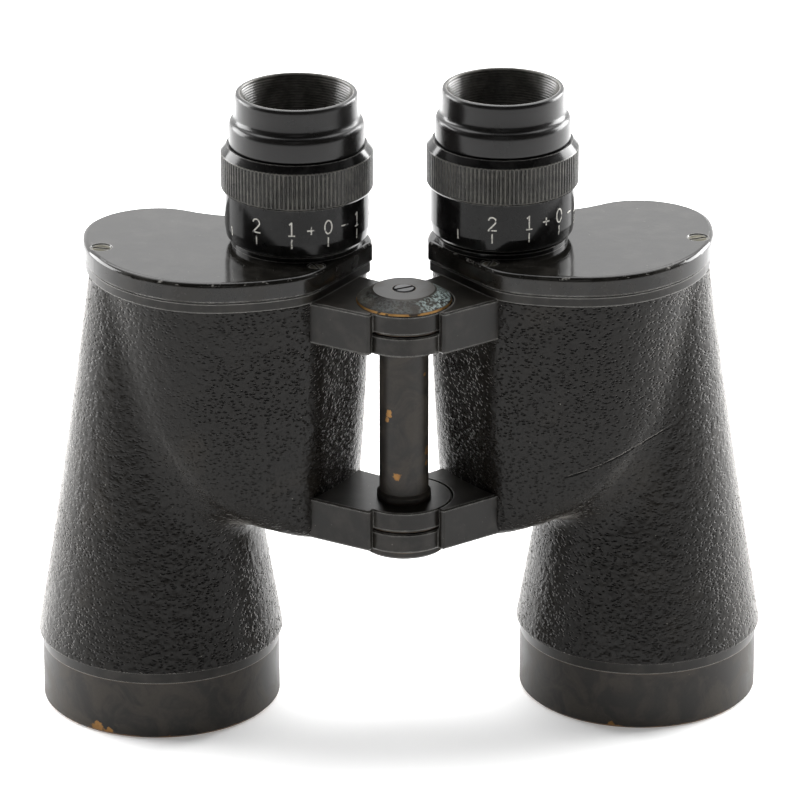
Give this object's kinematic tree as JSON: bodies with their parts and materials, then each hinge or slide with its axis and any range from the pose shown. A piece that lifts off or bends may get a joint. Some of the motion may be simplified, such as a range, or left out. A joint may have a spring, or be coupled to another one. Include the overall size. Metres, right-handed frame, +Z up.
{
  "type": "binoculars",
  "caption": "Porro prism binoculars with individually focusing eyepieces and a folding centre hinge, leather-covered bodies, standing on the objective rings.",
  "frame": {"origin": "on the resting plane, below the middle of the bounding box", "axes": "+Z up along the optical axes towards the eyepieces, +X to the right telescope as seen from the hinge side, -Y towards the hinge"},
  "size_m": [0.2048, 0.0724, 0.1795],
  "materials": {
    "black_enamel": "black enamel on cast aluminium, satin",
    "leatherette": "pebbled black covering",
    "gloss_enamel": "gloss black enamel, edges worn",
    "sealing": "matt",
    "blackened_steel": "blackened",
    "lacquered_brass": "dark lacquer over brass",
    "clamp_brass": "plain",
    "shelf_aluminium": "machined",
    "lens_glass": "polished",
    "bakelite": "moulded, gloss"
  },
  "bodies": {
    "left_telescope": {"left_body_casting": "black_enamel", "left_leather_cover": "leatherette", "left_cover_plate": "gloss_enamel", "left_cover_gasket": "sealing", "left_cover_screws": "blackened_steel", "left_strap_loop": "blackened_steel", "left_objective_ring": "lacquered_brass", "left_eccentric_ring": "lacquered_brass", "left_objective_cell": "lacquered_brass", "left_objective_retainer": "lacquered_brass", "left_objective_crown_lens": "lens_glass", "left_objective_flint_lens": "lens_glass", "left_prism_shelf": "shelf_aluminium", "left_upper_prism": "lens_glass", "left_lower_prism": "lens_glass", "left_prism_clamps": "clamp_brass", "left_prism_screws": "blackened_steel", "left_eyepiece_mount": "lacquered_brass", "hinge_axle": "blackened_steel", "hinge_bottom_nut": "clamp_brass", "hinge_cap_screw": "blackened_steel", "hinge_post": "lacquered_brass", "hinge_top_cap": "lacquered_brass", "hinge_washers": "clamp_brass"},
    "right_telescope": {"right_body_casting": "black_enamel", "right_leather_cover": "leatherette", "right_cover_plate": "gloss_enamel", "right_cover_gasket": "sealing", "right_cover_screws": "blackened_steel", "right_strap_loop": "blackened_steel", "right_objective_ring": "lacquered_brass", "right_eccentric_ring": "lacquered_brass", "right_objective_cell": "lacquered_brass", "right_objective_retainer": "lacquered_brass", "right_objective_crown_lens": "lens_glass", "right_objective_flint_lens": "lens_glass", "right_prism_shelf": "shelf_aluminium", "right_upper_prism": "lens_glass", "right_lower_prism": "lens_glass", "right_prism_clamps": "clamp_brass", "right_prism_screws": "blackened_steel", "right_eyepiece_mount": "lacquered_brass"},
    "left_lens_tube": {"left_lens_tube": "lacquered_brass", "left_field_lens": "lens_glass", "left_eye_lens": "lens_glass", "left_lens_spacer": "lacquered_brass", "left_lens_retainer": "lacquered_brass", "left_focus_key": "blackened_steel"},
    "left_focus": {"left_focus_ring": "black_enamel", "left_eyecup": "bakelite", "left_eyecup_set_screws": "blackened_steel"},
    "right_lens_tube": {"right_lens_tube": "lacquered_brass", "right_field_lens": "lens_glass", "right_eye_lens": "lens_glass", "right_lens_spacer": "lacquered_brass", "right_lens_retainer": "lacquered_brass", "right_focus_key": "blackened_steel"},
    "right_focus": {"right_focus_ring": "black_enamel", "right_eyecup": "bakelite", "right_eyecup_set_screws": "blackened_steel"}
  },
  "joints": [
    {"name": "hinge_fold", "type": "hinge", "parent": "left_telescope", "child": "right_telescope", "pos_m": [0, -0.0229, 0.09], "axis": [0, 0, -1], "range_deg": [0, 50]},
    {"name": "left_focus_slide", "type": "slide", "parent": "left_telescope", "child": "left_lens_tube", "axis": [0, 0, 1], "range_m": [-0.00185, 0.00205]},
    {"name": "left_focus_turn", "type": "hinge", "parent": "left_lens_tube", "child": "left_focus", "pos_m": [-0.0283, 0.0016, 0.15], "axis": [0, 0, 1], "range_deg": [-83.7, 93.1]},
    {"name": "right_focus_slide", "type": "slide", "parent": "right_telescope", "child": "right_lens_tube", "axis": [0, 0, 1], "range_m": [-0.00237, 0.00153]},
    {"name": "right_focus_turn", "type": "hinge", "parent": "right_lens_tube", "child": "right_focus", "pos_m": [0.0283, 0.0016, 0.15], "axis": [0, 0, 1], "range_deg": [-107.2, 69.6]}
  ],
  "couplings": [
    {"joint": "left_focus_turn", "follows": "left_focus_slide", "rad_per_m": 789.43},
    {"joint": "right_focus_turn", "follows": "right_focus_slide", "rad_per_m": 789.43}
  ]
}
